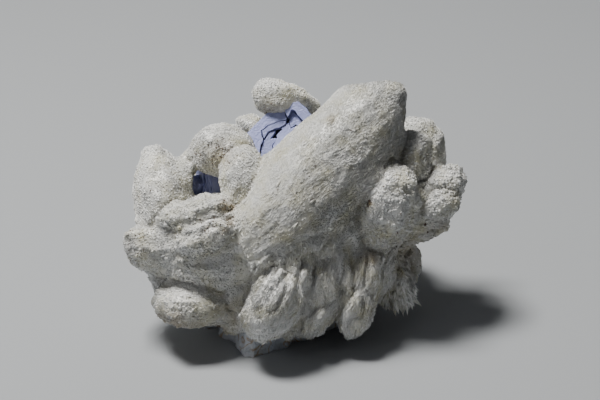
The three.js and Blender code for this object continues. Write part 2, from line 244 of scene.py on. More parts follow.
# %% The growth lines
CRYSTALS = [
    # name, group, root and tip in mm as shown, half widths across and along the view, habit
    ("main", "front", (-17, -19.5, -12), (28, 32.2, -6), 15, 13, "silk"),
    ("main shoulder", "front", (-8.5, 0, -6), (18.6, 32.6, -5), 6.2, 9, "silk"),
    ("main corner", "front", (12, 15, -6), (30, 33.6, -7), 4, 7, "silk"),
    ("main flank", "front", (-11.5, -24.5, -6), (22, 1.5, -1.5), 10, 12, "silk"),
    ("top", "upper", (10, 24.5, 15), (-13.5, 32.5, 6), 6, 6.5, "fine"),
    ("top foot", "upper", (5, 8, 20), (5, 26.5, 15), 6, 9, "fine"),
    ("top small", "upper", (-4, 17, 20), (-19, 23.5, 13), 4, 6, "fine"),
    ("knob", "upper", (-12.5, 13.5, 5), (-31.4, 14.8, -3), 7.6, 8, "fine"),
    ("leaf", "left", (-18.5, -4.5, -11), (-15.5, 16, -8), 6, 6, "fine"),
    ("left", "left", (-37.5, -14, -6), (-42.5, 15.5, -1), 8, 10, "fine"),
    ("left shoulder", "left", (-39.5, -16, -3), (-44, 11, 1), 6, 9, "silk"),
    ("left inner", "left", (-33.5, -4, 0), (-33.5, 15, 3), 3, 6, "fine"),
    ("ledge", "left", (-40.5, -6, -12), (-20, -1.5, -16.5), 4, 6, "crust"),
    ("lower ledge", "left", (-37, -14.5, -12), (-19, -7.5, -18.5), 5.5, 6, "crust"),
    ("west", "left", (-22.5, -15.5, -8), (-50, -12, -3), 8, 11, "crust"),
    ("west low", "left", (-22, -25, -6), (-43.5, -24, -3), 5, 7, "crust"),
    ("southwest", "left", (-19.5, -33, -9), (-42, -29, -8), 5.4, 9, "crust"),
    ("heart", "lower", (3.5, -11.5, -5), (-38.5, -17, -9), 11, 11, "crust"),
    ("heart low", "lower", (-7, -10, 0), (-20.5, -38.5, -5), 10, 10, "crust"),
    ("south", "lower", (0.5, -16, -10), (-13, -39, -19), 8, 10, "rib"),
    ("south fork", "lower", (2.5, -18, -4), (-4, -40, -9), 4.5, 8, "rib"),
    ("ridge", "lower", (14.5, -6.5, -2.5), (1, -39.5, -10), 7, 9, "rib"),
    ("ridge middle", "lower", (20.5, -6, 0.5), (14.5, -40, -8), 6, 9, "rib"),
    ("ridge right", "lower", (25, -7.5, 3), (21, -30, -1), 4.5, 8, "rib"),
    ("fan", "right", (25.5, -14.5, 7), (30, -31.5, 6), 5, 6, "feather"),
    ("recess", "right", (27.5, -7, 14), (34, -22, 16), 4, 7, "crust"),
    ("sugar", "right", (21, -15, 0), (28, 9.5, -12), 8.5, 10, "sugar"),
    ("sugar side", "right", (25.5, -13.5, 4), (35.5, 3.5, -4), 4.5, 8, "sugar"),
    ("northeast", "right", (28, -1, 2), (35, 20.5, 1), 6, 8, "sugar"),
    ("blade", "right", (30, 1, 14), (36, 25, 12), 10.5, 4, "fine"),
    ("east", "right", (26.5, -1, 6), (48.5, 6.5, 2), 5.5, 9, "sugar"),
    ("east middle", "right", (26, -6.5, 4), (46, 0.5, -3), 4.5, 8, "sugar"),
    ("east low", "right", (24, -11, 6), (43, -4, 3), 5, 9, "sugar"),
    ("west mass", "left", (-11, -11, -2), (-45, -11, -1), 13, 12, "crust"),
    ("south mass", "lower", (0, -1.5, -2), (-0.5, -35.5, -8), 22, 9, "rib"),
    ("east mass", "right", (7, -3, 2), (42.5, -1.5, 5), 10.5, 12, "crust"),
    ("north mass", "upper", (-22, -3.5, 15), (26.5, 19, 15), 10, 10, "crust"),
    ("trunk", "back", (-24.5, -9.5, 14), (33.5, -7.5, 16), 18.5, 20, "crust"),
    ("back top", "back", (0, 6, 18), (13.5, 22.5, 26), 9.5, 11, "crust"),
    ("back crown", "back", (-6, 3, 18), (-8, 22, 25), 10, 12, "crust"),
    ("back left high", "back", (-17.5, -7, 16), (-34, 5, 26), 8, 11, "sugar"),
    ("back left", "back", (-14.5, -14.5, 16), (-41, -7.5, 24), 10, 12, "crust"),
    ("back right", "back", (8.5, -6, 18), (29.5, 5, 32), 10, 13, "sugar"),
    ("back middle", "back", (0, -4.5, 20), (0.5, 6, 41), 11, 15, "crust"),
    ("back low left", "back", (-11.5, -9.5, 20), (-22, -7.5, 38), 10, 13, "crust"),
    ("back low right", "back", (14.5, -9.5, 18), (31.5, -6.5, 32), 9.5, 12, "sugar"),
    ("back foot", "back", (0, -7, 18), (2.5, -22, 36), 10.5, 13, "crust"),
    ("back foot left", "back", (-8.5, -11.5, 14), (-30, -22, 28), 10, 13, "crust"),
    ("back foot right", "back", (10.5, -11.5, 12), (24, -23, 24), 9.5, 13, "crust"),
]

# Crystals in one of these lists run on into each other, with no furrow between them
WHOLES = [
    ["main", "main shoulder", "main corner", "main flank", "heart", "heart low", "west", "west mass",
        "ledge", "lower ledge"],
    ["left", "left shoulder", "left inner"],
]

roots = np.array([shown(*row[2]) for row in CRYSTALS])
tips = np.array([shown(*row[3]) for row in CRYSTALS])
half_widths = np.array([(row[4] + row[5]) / 2 * MM for row in CRYSTALS])
growth = tips - roots
growth_lengths = np.linalg.norm(growth, axis=1)
growth_ways = growth / growth_lengths[:, None]
habits = np.array([row[6] for row in CRYSTALS])
BLEND_SHARPNESS = 14
CRYSTAL_END = 0.03
TAPER = 0.4
POINTS_AT_ONCE = 20000

def family_of(name):
    """The first crystal of the list that holds this one, or the crystal itself."""
    return next((whole[0] for whole in WHOLES if name in whole), name)

families = np.array([family_of(row[0]) for row in CRYSTALS])

def growth_at(points):
    """For each point: the crystal it belongs to, the way of growth, and how near the next crystal is."""
    owners = []
    ways = []
    seams = []
    for part in np.array_split(points, max(1, len(points) // POINTS_AT_ONCE)):
        from_root = part[:, None, :] - roots[None]
        share = (from_root * growth_ways[None]).sum(2) / growth_lengths
        share = np.clip(share, CRYSTAL_END, 1 - CRYSTAL_END)
        nearest = (share * growth_lengths)[:, :, None] * growth_ways[None]
        girth = half_widths * np.sin(pi * share) ** TAPER
        gap = np.linalg.norm(from_root - nearest, axis=2) / girth
        weight = np.exp(-BLEND_SHARPNESS * (gap - gap.min(1, keepdims=True)))
        way = weight @ growth_ways
        ways.append(way / (np.linalg.norm(way, axis=1, keepdims=True) + 1e-9))
        owner = gap.argmin(1)
        owners.append(owner)
        strange = families[owner][:, None] != families[None]
        seams.append(np.where(strange, gap, np.inf).min(1) - gap.min(1))
    return np.concatenate(owners), np.concatenate(ways), np.concatenate(seams)

print(len(CRYSTALS), "growth lines")

# %% [markdown]
# The helpers below do what a hand does over and over: select one piece, add a modifier to it and apply it,
# and read or move all its points at once.

# %% Helpers for meshes
def pick(piece):
    """Makes this piece the active one and the only one selected."""
    bpy.ops.object.select_all(action="DESELECT")
    piece.select_set(True)
    bpy.context.view_layer.objects.active = piece

def apply(piece, kind, **settings):
    """Adds one modifier, sets it and applies it."""
    pick(piece)
    made = piece.modifiers.new(kind.title(), kind)
    for name, value in settings.items():
        setattr(made, name, value)
    bpy.ops.object.modifier_apply(modifier=made.name)

def points_of(piece):
    """The places of all vertices, as rows of x, y and z."""
    places = np.empty(len(piece.data.vertices) * 3, np.float32)
    piece.data.vertices.foreach_get("co", places)
    return places.reshape(-1, 3).astype(float)

def move_points(piece, places):
    """Puts all vertices in these places."""
    piece.data.vertices.foreach_set("co", np.ascontiguousarray(places, np.float32).ravel())
    piece.data.update()

def normals_of(piece):
    """The direction that the surface faces at each vertex."""
    values = np.empty(len(piece.data.vertices) * 3, np.float32)
    piece.data.vertex_normals.foreach_get("vector", values)
    return values.reshape(-1, 3).astype(float)

def corners_of(piece):
    """The three vertices of each triangle."""
    piece.data.calc_loop_triangles()
    corners = np.empty(len(piece.data.loop_triangles) * 3, np.int32)
    piece.data.loop_triangles.foreach_get("vertices", corners)
    return corners.reshape(-1, 3)

def triangle_count(piece):
    """How many triangles the piece has."""
    return len(corners_of(piece))

def paint(piece, name, values):
    """Stores one number per vertex, which the material reads by this name."""
    layer = piece.data.attributes.new(name, "FLOAT", "POINT")
    layer.data.foreach_set("value", np.ascontiguousarray(values, np.float32))

def copy_of(node, name):
    """A piece with a CAD node's mesh, its loose triangles joined at their corners."""
    made = bpy.data.objects.new(name, frame["nodes"][node].data.copy())
    bpy.context.scene.collection.objects.link(made)
    pick(made)
    bpy.ops.object.mode_set(mode="EDIT")
    bpy.ops.mesh.select_all(action="SELECT")
    bpy.ops.mesh.remove_doubles(threshold=1e-6)
    bpy.ops.object.mode_set(mode="OBJECT")
    made.data.materials.clear()
    return made

def distance_to(nodes, places):
    """How far each place is from the nearest of these CAD nodes."""
    trees = [BVHTree.FromObject(frame["nodes"][n], bpy.context.evaluated_depsgraph_get()) for n in nodes]
    return np.array([min(tree.find_nearest(p)[3] for tree in trees) for p in places])

print("CAD nodes:", ", ".join(frame["nodes"]))

# %% [markdown]
# Under the druse the crystals are grown into each other. The CAD solid gives each crystal, but with sharp
# valleys between them that the real growth has filled. To fill them a copy is grown outwards by 1.3 mm,
# remeshed, which closes every narrow valley, and shrunk back by the same distance: ridges return to their
# place and only the filled valleys stay. Near the galena it grows less, so that the windows stay open, and
# between ribs it grows less too, so that they stay apart. The silky crystals are smoothed further, because
# their flat CAD facets would show through fine fibres.

# %% The grown-together body
VALLEY = 1.3 * MM
WINDOW = (1.5 * MM, 9 * MM)
COARSE_VOXEL = 0.8 * MM
FINE_VOXEL = 0.7 * MM
GALENA = ["galena_upper", "galena_lower"]
OPEN_HABITS = ["rib", "feather"]
OPEN_SHARE = 0.35
EVEN_HABITS = ["silk"]
EVEN_ROUNDS = 45

def offset_points(piece, distance):
    """Moves the surface along its normals, less where galena is near and between ribs."""
    places = points_of(piece)
    near, far = WINDOW
    room = np.clip((distance_to(GALENA, places) - near) / (far - near), 0, 1)
    room *= np.where(np.isin(habits[growth_at(places)[0]], OPEN_HABITS), OPEN_SHARE, 1)
    move_points(piece, places + normals_of(piece) * (distance * room)[:, None])

body = copy_of("calcite_crystals", "crystal_body")
apply(body, "REMESH", mode="VOXEL", voxel_size=COARSE_VOXEL)
offset_points(body, VALLEY)
apply(body, "REMESH", mode="VOXEL", voxel_size=COARSE_VOXEL)
apply(body, "SMOOTH", iterations=2)
offset_points(body, -VALLEY)
apply(body, "REMESH", mode="VOXEL", voxel_size=FINE_VOXEL)
apply(body, "SMOOTH", iterations=3)
even = body.vertex_groups.new(name="even")
even_points = np.isin(habits[growth_at(points_of(body))[0]], EVEN_HABITS)
even.add(np.flatnonzero(even_points).tolist(), 1, "REPLACE")
apply(body, "SMOOTH", iterations=EVEN_ROUNDS, vertex_group="even")
print("body:", triangle_count(body), "triangles")

# %% [markdown]
# The body's own surface is a bundle of small crystals side by side. Smooth noise gives such bumps, and it is
# stretched along the growth lines so that each bump is a slender one. Where a habit is creased, the noise is
# folded up at zero, which leaves sharp valleys between round ridges. Finer threads are added, and a furrow
# is sunk where two crystals of different families meet. Together they move the surface by 2.5 mm at most.

# %% Bundled crystals on the body
BUNDLES = {
    # habit: across, along and lift of a bump in mm, then how creased the surface is, from 0 to 1
    "silk": (2.0, 7, 0.32, 0.3),
    "rib": (3.0, 13, 1.6, 0.8),
    "crust": (2.4, 4.5, 1.2, 0.5),
    "sugar": (2.4, 3.0, 1.0, 0.4),
    "feather": (2.6, 12, 2.2, 1),
    "fine": (2.6, 4.0, 0.8, 0.2),
}
FIBRE_ACROSS = 1.1 * MM
FIBRE_ALONG = 4 * MM
FIBRE_LIFT = 0.2 * MM
CREASE_LEVEL = 0.4
FURROW_WIDTH = 0.16
FURROW_DEPTH = 1.1 * MM
FURROW_CURVE = 0.7
GALENA_ROOM = 3 * MM
NOISE_SHIFT = 7.7
bundle_sizes = np.array([BUNDLES[habit][:3] for habit in habits]) * MM
creases = np.array([BUNDLES[habit][3] for habit in habits])

def stretched(places, owners, ways, across, along):
    """Places for a noise whose features are this long across and along the growth lines."""
    from_root = places - roots[owners]
    run = (from_root * ways).sum(1, keepdims=True)
    return (from_root - run * ways) / across + ways * run / along + NOISE_SHIFT * owners[:, None]

def streaks(places, owners, ways):
    """How far the bundled crystals lift the surface at each place."""
    across, along, height = bundle_sizes[owners].T[:, :, None]
    cells = stretched(places, owners, ways, across, along)
    fibres = stretched(places, owners, ways, FIBRE_ACROSS, FIBRE_ALONG)
    bumps = np.array([noise.noise(p) for p in cells])
    threads = np.array([noise.noise(p) for p in fibres])
    crease = creases[owners]
    bumps = bumps * (1 - crease) + (2 * np.abs(bumps) - CREASE_LEVEL) * crease
    return height[:, 0] * bumps + FIBRE_LIFT * threads

places = points_of(body)
owners, _, seams = growth_at(places)
room = np.clip(distance_to(GALENA, places) / GALENA_ROOM, 0, 1)
lift = streaks(places, owners, growth_ways[owners]) * room
lift -= FURROW_DEPTH * np.clip(1 - seams / FURROW_WIDTH, 0, 1) ** FURROW_CURVE * room
move_points(body, places + normals_of(body) * lift[:, None])
apply(body, "SMOOTH", iterations=1)
pick(body)
bpy.ops.object.shade_smooth()
print("lift from", round(lift.min() / MM, 2), "to", round(lift.max() / MM, 2), "mm")

# %% [markdown]
# Iron has stained the crust tan in some hollows and dark grains of sulphide sit in others. In a few places
# the
# crust is lightened with painted light: painted highlights where it sparkles and where the lamps fall on it.
# These places are listed as the viewer sees them, each with its radius and with how much of the three it has.
# They reach 14 mm behind the middle of the specimen and no further, because the photograph shows no more.
# Hollows everywhere are a little warmer than the ridges.

# %% Stained, specked and painted-light places
PATCHES = [
    # right, up and radius in mm, then stain, specks and painted light
    (-21.8, -2.0, 2.4, 0.6, 0.05, 0), (-19.8, -2.2, 1.2, 0.8, 0.2, 0), (-20.3, -6.4, 1.6, 0.6, 0.1, 0),
    (-21.8, -8.7, 1.3, 0.5, 0.1, 0), (-26, -8, 4.5, 0.1, 0.03, 0.5), (-22.5, 13.5, 4.5, 0.35, 0.05, 0),
    (-27.5, 12.5, 3.5, 0.2, 0.05, 0), (-40.6, -34.8, 3.5, 0.6, 0.01, 0), (-36, -36, 3.5, 0.6, 0.01, 0),
    (-30, -37, 3, 0.4, 0.01, 0), (-23.8, -39, 3.5, 0.6, 0, 0), (20.3, -16.8, 2.4, 0.6, 0.02, 0),
    (31.9, -16, 6, 0.35, 0.01, 0), (9, 23.2, 1.4, 0.5, 0.02, 0), (-20, -34, 5, 0.25, 0, 0),
    (40.6, -10, 5, 0.3, 0.01, 0), (-9.3, 25.5, 4, 0.25, 0.01, 0), (20.3, -1.2, 0.8, 0.9, 0.3, 0),
    (-48, -14, 5, 0.1, 0.03, 0), (-43, 2, 7, 0.05, 0.008, 0.2), (4, 9.5, 2.5, 0, 0.02, 0.2),
    (-29, 19.5, 3, 0, 0, 0.7), (-24, 20.5, 2.5, 0, 0, 0.5), (18.5, 14.5, 2.2, 0, 0, 0.9),
    (5.3, 13.6, 2, 0, 0, 0.7), (-1.5, 11.5, 2.5, 0, 0, 0.5), (-7, -24.5, 2.2, 0, 0, 0.9),
    (2, -26.5, 2.4, 0, 0, 1.0), (-12.2, -37.5, 2.6, 0, 0, 0.7), (-4.5, -37, 2.2, 0, 0, 0.5),
    (22, 5, 6.5, 0.05, 0, 0.9), (-36, -30, 4, 0.1, 0, 0.6), (-44, 13, 3, 0, 0, 0.6),
    (-27, -4.5, 2, 0, 0, 0.6), (-10, 33, 4, 0, 0, 0.4), (43, 5, 5, 0.05, 0, 0.7),
]
FACING_FRONT = 14 * MM
PATCH_REACH = 1.4
HOLLOW_ROUNDS = 25
HOLLOW_DEPTH = 1.2 * MM
HOLLOW_STAIN = 0.3
MOST_STAIN = 0.9
BODY_TONE = 0.15
# How much the patches' painted light whitens the body, as a painted highlight
BODY_PAINTED_LIGHT = 0.5
patch_places = np.array(PATCHES)

def patches_at(places):
    """The stain, share of dark grains and painted light that the patches give at each place."""
    eye = np.array(CAMERA_PLACE)
    view_axis = np.array(shown(0, 0, 1) - shown(0, 0, 0)) / MM
    up_axis = np.array(shown(0, 1, 0) - shown(0, 0, 0)) / MM
    away = places - eye
    depth = away @ view_axis
    scale = CAMERA_DISTANCE / depth / MM
    right = away[:, 0] * scale
    up = away @ up_axis * scale
    gap = np.hypot(right[:, None] - patch_places[:, 0], up[:, None] - patch_places[:, 1])
    strength = np.clip(PATCH_REACH - gap / patch_places[:, 2], 0, 1)
    strength *= (depth < CAMERA_DISTANCE + FACING_FRONT)[:, None]
    return [(strength * patch_places[:, column]).max(1) for column in (3, 4, 5)]

smooth_body = bpy.data.objects.new("smooth_body", body.data.copy())
bpy.context.scene.collection.objects.link(smooth_body)
apply(smooth_body, "SMOOTH", iterations=HOLLOW_ROUNDS)
hollow = ((points_of(smooth_body) - points_of(body)) * normals_of(smooth_body)).sum(1)
hollow = np.clip(hollow / HOLLOW_DEPTH, 0, 1)
bpy.data.objects.remove(smooth_body)

# The third value is painted light, which whitens the body where the patches give it
stain, _, painted_light = patches_at(points_of(body))
paint(body, "tone_and_highlight", BODY_TONE + BODY_PAINTED_LIGHT * painted_light)
paint(body, "stain", np.clip(stain + HOLLOW_STAIN * hollow, 0, MOST_STAIN))
paint(body, "speck", np.zeros(len(body.data.vertices)))
print("hollows:", int((hollow > 0.5).sum()), "vertices; patches:", len(PATCHES))

# %% [markdown]
# The body shows only between the grains, where the real crust is the same calcite, so it has the same
# material. It takes the place of the CAD solid of the crystals.

# %% Finish of the body
body.data.materials.append(druse)
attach(body, "root")
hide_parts("calcite_crystals")
print(body.name, "has the finish", druse.name)

# %% [markdown]
# The druse itself is made of single grains, each a closed crystal with pointed ends. One grain of each kind
# is modelled from a cone: the ring round its base is raised to the waist, and the middle of the base is left
# below as a second point. The six-sided grain has a zigzag waist, as a dog-tooth crystal has. Grains are
# this plain because hundreds of thousands of triangles are made of them.

# %% One grain of each kind
RING_RADIUS = 0.25
ZIGZAG = 0.08

def grain(name, sides, waist):
    """A crystal one unit long and wide, pointed at both ends and widest at this height."""
    bpy.ops.mesh.primitive_cone_add(
        vertices=sides, radius1=0.5, depth=1, end_fill_type="TRIFAN", location=(0, 0, 0))
    made = bpy.context.object
    made.name = name
    places = points_of(made)
    ring = np.hypot(places[:, 0], places[:, 1]) > RING_RADIUS
    foot = ~ring & (places[:, 2] < 0)
    places[ring, 2] = waist
    places[ring, 2] += ZIGZAG * np.where(np.arange(ring.sum()) % 2, 1, -1) * (sides == 6)
    places[foot, 2] = -0.5
    move_points(made, places)
    shape = points_of(made), corners_of(made)
    bpy.data.objects.remove(made)
    return shape

fibre_grain = grain("fibre grain", 3, -0.05)
tooth_grain = grain("tooth grain", 6, -0.1)
print("faces per grain:", len(fibre_grain[1]), "and", len(tooth_grain[1]))

# %% [markdown]
# The grains are sown over the body by chance, evenly for each square millimetre, then turned to lean from
# the surface along the growth lines. The real grains look 0.6 to 1.2 mm long at the scale chosen, and
# those of the ribs and the feathers are drawn longer, so that they show. Numbers are drawn from one seeded
# source, so the specimen comes out the same each time.

# %% Kinds of grain
HABITS = {
    # name: grain, grains per square mm, width mm, length mm, lean in degrees, disorder
    "silk": (fibre_grain, 9.5, 0.28, 1.15, 16, 0.1),
    "rib": (fibre_grain, 7.0, 0.34, 1.3, 18, 0.12),
    "crust": (fibre_grain, 5.0, 0.46, 0.9, 28, 0.22),
    "sugar": (tooth_grain, 2.9, 0.66, 0.72, 48, 0.22),
    "feather": (tooth_grain, 2.2, 0.6, 2.4, 26, 0.12),
    "fine": (fibre_grain, 5.6, 0.48, 0.85, 26, 0.2),
}
# Larger crystals that stand among the grains, in the same columns
TEETH = {
    "silk": (tooth_grain, 0.008, 0.9, 2.6, 14, 0.1),
    "rib": (tooth_grain, 0.05, 0.9, 2.0, 18, 0.12),
    "crust": (tooth_grain, 0.12, 1.0, 1.2, 42, 0.25),
    "sugar": (tooth_grain, 0.25, 1.15, 1.2, 46, 0.25),
    "feather": (tooth_grain, 0.3, 1.0, 4.0, 22, 0.12),
}
chance = np.random.default_rng(1812)
print("grains per square mm:", {habit: kind[1] for habit, kind in HABITS.items()})

# %% [markdown]
# Before sowing, each face of the body is measured: how large it is, which crystal it belongs to, and what
# stains it. Faces that lie close to the galena, the rind or the table get no grains.

# %% Measure the body's faces
GALENA_CLEAR = 0.7 * MM
RIND_CLEAR = 0.8 * MM
FLOOR_ROOM = 1.2 * MM

body_points = points_of(body)
body_corners = corners_of(body)
edge_a = body_points[body_corners[:, 1]] - body_points[body_corners[:, 0]]
edge_b = body_points[body_corners[:, 2]] - body_points[body_corners[:, 0]]
face_normals = np.cross(edge_a, edge_b)
face_areas = np.linalg.norm(face_normals, axis=1) / 2
face_normals /= 2 * face_areas[:, None] + 1e-15
face_centres = body_points[body_corners].mean(1)
face_owners, face_ways, _ = growth_at(face_centres)
galena_gap = distance_to(GALENA, face_centres)
rind_gap = distance_to(["broken_rind"], face_centres)
face_hollows = hollow[body_corners].mean(1)
face_stains, face_specks, face_painted_light = patches_at(face_centres)
face_stains = np.clip(face_stains + HOLLOW_STAIN * face_hollows, 0, MOST_STAIN)
hidden = (galena_gap < GALENA_CLEAR) | (rind_gap < RIND_CLEAR) | (face_centres[:, 2] < FLOOR_ROOM)
print("area:", round(face_areas.sum() / MM ** 2), "square mm,", hidden.sum(), "faces left bare")

# %% [markdown]
# A grain needs a foot, an axis and a size. The axis leans out from the surface by the lean of its habit, with
# some disorder, and the width is turned at random round it. Dark grains are short and stand a little proud,
# and glints are wider than the rest, because only a face of some size sends light to the eye. Glints are
# painted highlights as well: they are painted the whitest tone, and there are more of them in the
# painted-light patches.

# %% Sow the druse
GRAIN_SINK = 0.08 * MM
FOOT_SHARE = 0.1
DARK_RISE = -1.5
DARK_LENGTH = 0.6
DARKNESS = 0.95
SPECK_SHARE = 0.001
SPECKS_IN_PATCH = 1.6
# Painted glints: grains painted the whitest tone as a painted highlight, by chance and more in painted-light
# patches
PAINTED_GLINT_SHARE = 0.012
PAINTED_GLINTS_IN_PATCH = 0.05
PAINTED_GLINT_SIZE = 1.3
FLATTENING = 0.6
LEAN_SPREAD = 0.4
SIZE_RANGE = (0.65, 1.35)
WIDTH_RANGE = (0.8, 1.2)
STAIN_RANGE = (0.5, 1.2)
TONE_SPREAD = 0.75
# How much the patches' painted light whitens the grains' tone
PAINTED_LIGHT_IN_PATCH = 0.8

def spots_on(chosen, per_square_mm):
    """Places by chance on the chosen faces: the face of each and the place itself."""
    usable = np.flatnonzero(chosen & ~hidden)
    areas = face_areas[usable]
    count = int(areas.sum() / MM ** 2 * per_square_mm)
    face = usable[np.searchsorted(np.cumsum(areas), chance.random(count) * areas.sum())]
    u, v = chance.random((2, count))
    u, v = np.where(u + v > 1, 1 - u, u), np.where(u + v > 1, 1 - v, v)
    return face, body_points[body_corners[face, 0]] + u[:, None] * edge_a[face] + v[:, None] * edge_b[face]

def axes_at(face, lean, disorder):
    """The side, other side and length directions of a grain on each face."""
    count = len(face)
    normal = face_normals[face]
    way = face_ways[face]
    along = way - (way * normal).sum(1, keepdims=True) * normal * FLATTENING
    along /= np.linalg.norm(along, axis=1, keepdims=True) + 1e-9
    angle = np.radians(chance.normal(lean, LEAN_SPREAD * lean, count))[:, None]
    up = along * np.cos(angle) + normal * np.sin(angle) + chance.normal(0, disorder, (count, 3))
    up /= np.linalg.norm(up, axis=1, keepdims=True)
    side = np.cross(up, chance.normal(size=(count, 3)))
    side /= np.linalg.norm(side, axis=1, keepdims=True)
    return side, np.cross(up, side), up

def sow(chosen, kind, share):
    """A batch of grains of one kind: corners, faces of one grain, how many, and their three values."""
    (shape, faces), density, width, length, lean, disorder = kind
    face, foot = spots_on(chosen, density * share)
    count = len(face)
    side, other, up = axes_at(face, lean, disorder)
    dark = chance.random(count) < SPECK_SHARE + SPECKS_IN_PATCH * face_specks[face]
    # Painted glints, whose whitest tone is a painted highlight
    painted_glints = chance.random(count) < PAINTED_GLINT_SHARE + PAINTED_GLINTS_IN_PATCH * face_painted_light[face]
    size = chance.uniform(*SIZE_RANGE, (count, 1)) * MM
    widening = np.where(painted_glints, PAINTED_GLINT_SIZE, 1)[:, None]
    wide = width * size * chance.uniform(*WIDTH_RANGE, (count, 1)) * widening
    high = length * size * np.where(dark, DARK_LENGTH, 1)[:, None]
    sink = (GRAIN_SINK * np.where(dark, DARK_RISE, 1))[:, None]
    foot = foot + up * high * FOOT_SHARE - face_normals[face] * sink
    corners = (foot[:, None] + shape[None, :, 0:1] * (side * wide)[:, None]
        + shape[None, :, 1:2] * (other * wide)[:, None] + shape[None, :, 2:3] * (up * high)[:, None])
    # Tone: partly random, plus painted light from the patches; painted glints get the whitest tone as a
    # painted highlight
    tone_and_highlight = TONE_SPREAD * chance.random(count) ** 2 + PAINTED_LIGHT_IN_PATCH * face_painted_light[face]
    tone_and_highlight = np.clip(tone_and_highlight, 0, 1)
    tone_and_highlight[painted_glints] = 1
    stain = face_stains[face] * chance.uniform(*STAIN_RANGE, count)
    values = np.stack([tone_and_highlight, stain, DARKNESS * dark])
    return corners.reshape(-1, 3), faces, count, values

def piece_of(name, batches):
    """One mesh piece from several batches of grains."""
    places, triangles, values = [], [], []
    start = 0
    for corners, faces, count, grain_values in batches:
        size = len(corners) // count
        numbers = np.arange(count)[:, None, None] * size + faces[None] + start
        places.append(corners)
        triangles.append(numbers.reshape(-1, 3))
        values.append(np.repeat(grain_values, size, axis=1))
        start += len(corners)
    places = np.concatenate(places)
    triangles = np.concatenate(triangles)
    mesh = bpy.data.meshes.new(name)
    mesh.vertices.add(len(places))
    mesh.vertices.foreach_set("co", places.astype(np.float32).ravel())
    mesh.loops.add(triangles.size)
    mesh.loops.foreach_set("vertex_index", triangles.astype(np.int32).ravel())
    mesh.polygons.add(len(triangles))
    mesh.polygons.foreach_set("loop_start", np.arange(0, triangles.size, 3, dtype=np.int32))
    mesh.update(calc_edges=True)
    made = bpy.data.objects.new(name, mesh)
    bpy.context.scene.collection.objects.link(made)
    for layer, row in zip(["tone_and_highlight", "stain", "speck"], np.concatenate(values, axis=1)):
        paint(made, layer, row)
    mesh.materials.append(druse)
    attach(made, "root")
    print(name, len(triangles), "triangles")
    return made

# The back has fewer grains, so that the object stays under its limit of triangles
BACK_SHARE = 0.55
owner_groups = np.array([row[1] for row in CRYSTALS])[face_owners]
owner_habits = habits[face_owners]
for group in ["front", "upper", "left", "lower", "right", "back"]:
    batches = []
    for habit, kind in [*HABITS.items(), *TEETH.items()]:
        chosen = (owner_groups == group) & (owner_habits == habit)
        if chosen.any():
            batches.append(sow(chosen, kind, BACK_SHARE if group == "back" else 1))
    piece_of("druse_" + group, [batch for batch in batches if batch[2]])

# %% [markdown]
# Galena is lead sulphide, a lavender-grey metal that is satin where it has been in the air for long. Its
# faces were made by cleavage and not by polish, so a fine bump and a mottled roughness break the shine. It is
# a full metal in life. Here it is only partly metallic, matched to the pale, even face in the photograph.
# The mottling is 1.6 mm wide and the bump 0.5 mm, both chosen.

# %% Material: galena
DULLNESS = 0.48
GALENA_MOTTLE = 1.6
GALENA_GRAIN = 0.5

def galena_material():
    """Cleaved lead sulphide, mottled and softly shining."""
    made = new_material("galena")
    place = add(made, "ShaderNodeTexCoord").outputs["Object"]
    mottle = add(made, "ShaderNodeTexNoise", {
        "Vector": place, "Scale": per_mm(GALENA_MOTTLE), "Detail": 5.0})
    tint = add(made, "ShaderNodeMix", {
        "Factor": mottle.outputs["Fac"], "A": srgb("#8188b8"), "B": srgb("#abb0da")}, data_type="RGBA")
    grain_noise = add(made, "ShaderNodeTexNoise", {
        "Vector": place, "Scale": per_mm(GALENA_GRAIN), "Detail": 4.0})
    bump = add(made, "ShaderNodeBump", {
        "Height": grain_noise.outputs["Fac"], "Strength": 0.8, "Distance": 0.2 * MM})
    rough = add(made, "ShaderNodeMapRange", {
        "Value": mottle.outputs["Fac"], "To Min": DULLNESS - 0.08, "To Max": DULLNESS + 0.12})
    shader = add(made, "ShaderNodeBsdfPrincipled", {
        "Base Color": tint.outputs["Result"],
        "Metallic": 0.4,
        "Roughness": rough.outputs["Result"],
        "Normal": bump.outputs["Normal"],
    })
    add(made, "ShaderNodeOutputMaterial", {"Surface": shader.outputs["BSDF"]})
    return made

galena = galena_material()
print("material:", galena.name)

# %% [markdown]
# In the cracks between the plates the light is lost, so the plate that lies under them is painted shade: a
# nearly black, dull surface that stands for the shade in the cracks.

# %% Material: painted shade in the galena cracks
painted_crack_shade = new_material("galena crack")
painted_crack_shade_shader = add(painted_crack_shade, "ShaderNodeBsdfPrincipled", {"Base Color": srgb("#23242c"), "Roughness": 0.7})
add(painted_crack_shade, "ShaderNodeOutputMaterial", {"Surface": painted_crack_shade_shader.outputs["BSDF"]})
print("material:", painted_crack_shade.name)

# %% [markdown]
# Galena breaks along the faces of a cube, so both crystals are built from flat plates at slightly different
# levels. Each plate is modelled as a hand would cut it from card: an outline, extruded downwards, with a
# narrow bevel that catches the light. Its edge gets extra corners, each a little off the line, because
# cleavage edges are ragged. Modelled edges are better here than a bump, because they also show in outline.

# %% Plates and slabs of galena
EDGE_STEP = 0.7
EDGE_JITTER = 0.07
PLATE_BEVEL = 0.09
SLAB_BEVEL = 0.1
BEVEL_ANGLE = radians(50)

def ragged(outline):
    """The outline with more corners, each a little off the straight line."""
    corners = []
    for (x0, y0), (x1, y1) in zip(outline, outline[1:] + outline[:1]):
        parts = max(1, round(((x1 - x0) ** 2 + (y1 - y0) ** 2) ** 0.5 / EDGE_STEP))
        for i in range(parts):
            share = i / parts
            jitter = chance.normal(0, EDGE_JITTER, 2) if i else (0, 0)
            corners.append((x0 + share * (x1 - x0) + jitter[0], y0 + share * (y1 - y0) + jitter[1]))
    return corners

